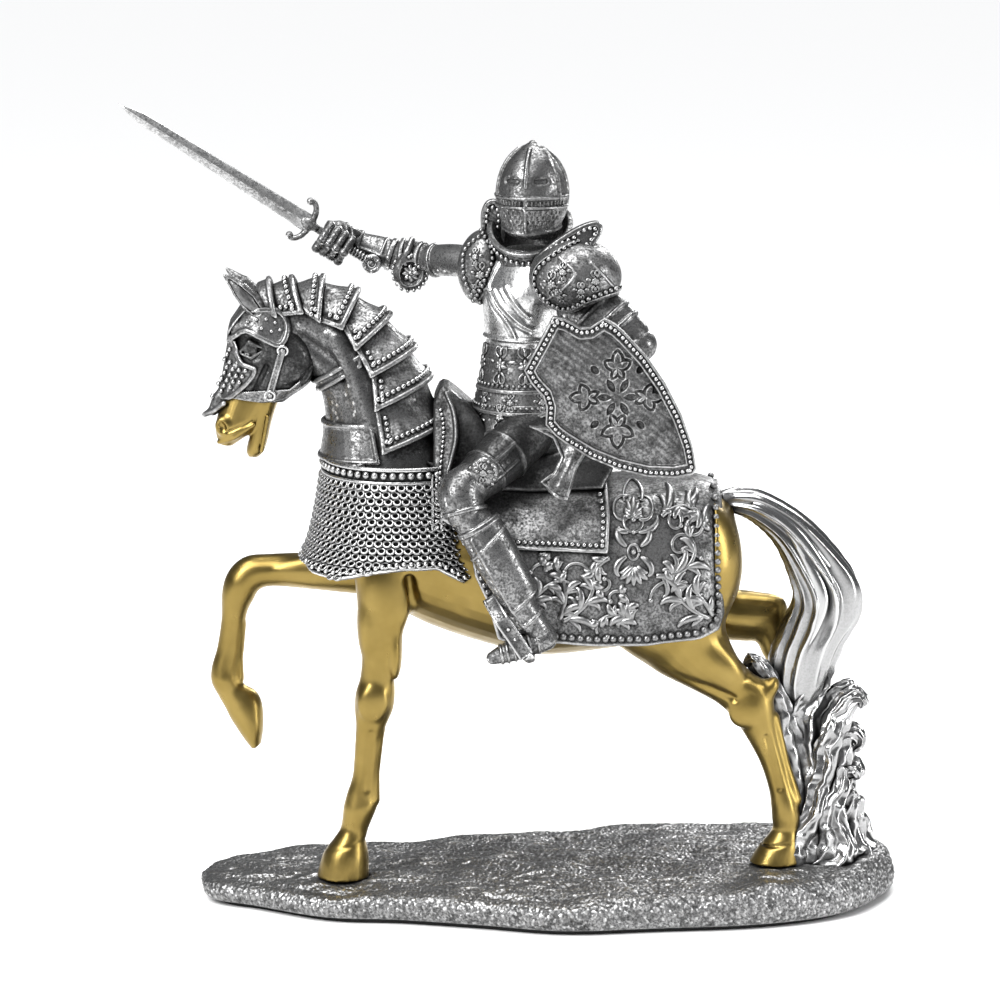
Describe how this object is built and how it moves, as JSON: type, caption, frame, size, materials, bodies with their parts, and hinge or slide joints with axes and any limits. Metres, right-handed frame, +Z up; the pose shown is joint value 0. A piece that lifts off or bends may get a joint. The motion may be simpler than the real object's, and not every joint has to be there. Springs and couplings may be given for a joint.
{
  "type": "knight on horseback statuette",
  "caption": "Statuette of an armoured knight on a walking armoured horse, on a rocky plinth; the sword pulls out of the fist.",
  "frame": {"origin": "middle of the felt's underside, at the surface the statuette stands on", "axes": "+Z up; the horse faces -X; its left side, with the shield, faces -Y and the sword arm is on +Y"},
  "size_m": [0.262, 0.0984, 0.2696],
  "materials": {
    "armour_silver": "bright silver paint over cast resin, darkened in the recesses",
    "aged_silver": "dark antiqued silver paint",
    "gold_paint": "satin gold paint",
    "stone_silver": "pebbled antiqued silver",
    "wave_silver": "polished silver paint",
    "blade_silver": "speckled silver",
    "pin_steel": "plain",
    "felt": "black felt"
  },
  "bodies": {
    "statue": {"base": "stone_silver", "bridle": "armour_silver", "caparison": "armour_silver", "chanfron": "armour_silver", "couter_right": "armour_silver", "crinet_lame_1": "armour_silver", "crinet_lame_2": "armour_silver", "crinet_lame_3": "armour_silver", "crinet_lame_4": "armour_silver", "crinet_lame_5": "armour_silver", "crinet_lame_6": "armour_silver", "crinet_lame_7": "armour_silver", "cuirass": "armour_silver", "ear_left": "aged_silver", "ear_right": "aged_silver", "fauld": "armour_silver", "felt_pad": "felt", "fore_leg_left": "gold_paint", "fore_leg_right": "gold_paint", "forearm_left": "aged_silver", "forearm_right": "armour_silver", "gauntlet_right": "armour_silver", "gorget": "armour_silver", "greave_left": "armour_silver", "greave_right": "armour_silver", "helmet": "aged_silver", "hind_leg_left": "gold_paint", "hind_leg_right": "gold_paint", "hoof_pin_front": "pin_steel", "hoof_pin_rear": "pin_steel", "horse_body": "gold_paint", "horse_head": "aged_silver", "horse_neck": "aged_silver", "knee_left": "armour_silver", "knee_right": "armour_silver", "mail_peytral": "armour_silver", "muzzle": "gold_paint", "neck_band": "armour_silver", "pauldron_left": "armour_silver", "pauldron_right": "armour_silver", "poll_plate": "armour_silver", "sabaton_left": "armour_silver", "sabaton_right": "armour_silver", "saddle": "aged_silver", "saddle_blanket": "armour_silver", "shield": "armour_silver", "skirt": "armour_silver", "stirrup_left": "aged_silver", "stirrup_right": "aged_silver", "surcoat_tail": "armour_silver", "sword_pommel": "aged_silver", "tail": "wave_silver", "thigh_left": "aged_silver", "thigh_right": "aged_silver", "throat_band": "armour_silver", "upper_arm_left": "aged_silver", "upper_arm_right": "armour_silver", "visor": "armour_silver", "wave_support": "wave_silver"},
    "sword": {"sword": "blade_silver"}
  },
  "joints": [
    {"name": "sword_draw", "type": "slide", "parent": "statue", "child": "sword", "axis": [-0.8434, 0, 0.5373], "range_m": [0, 0.03]}
  ]
}
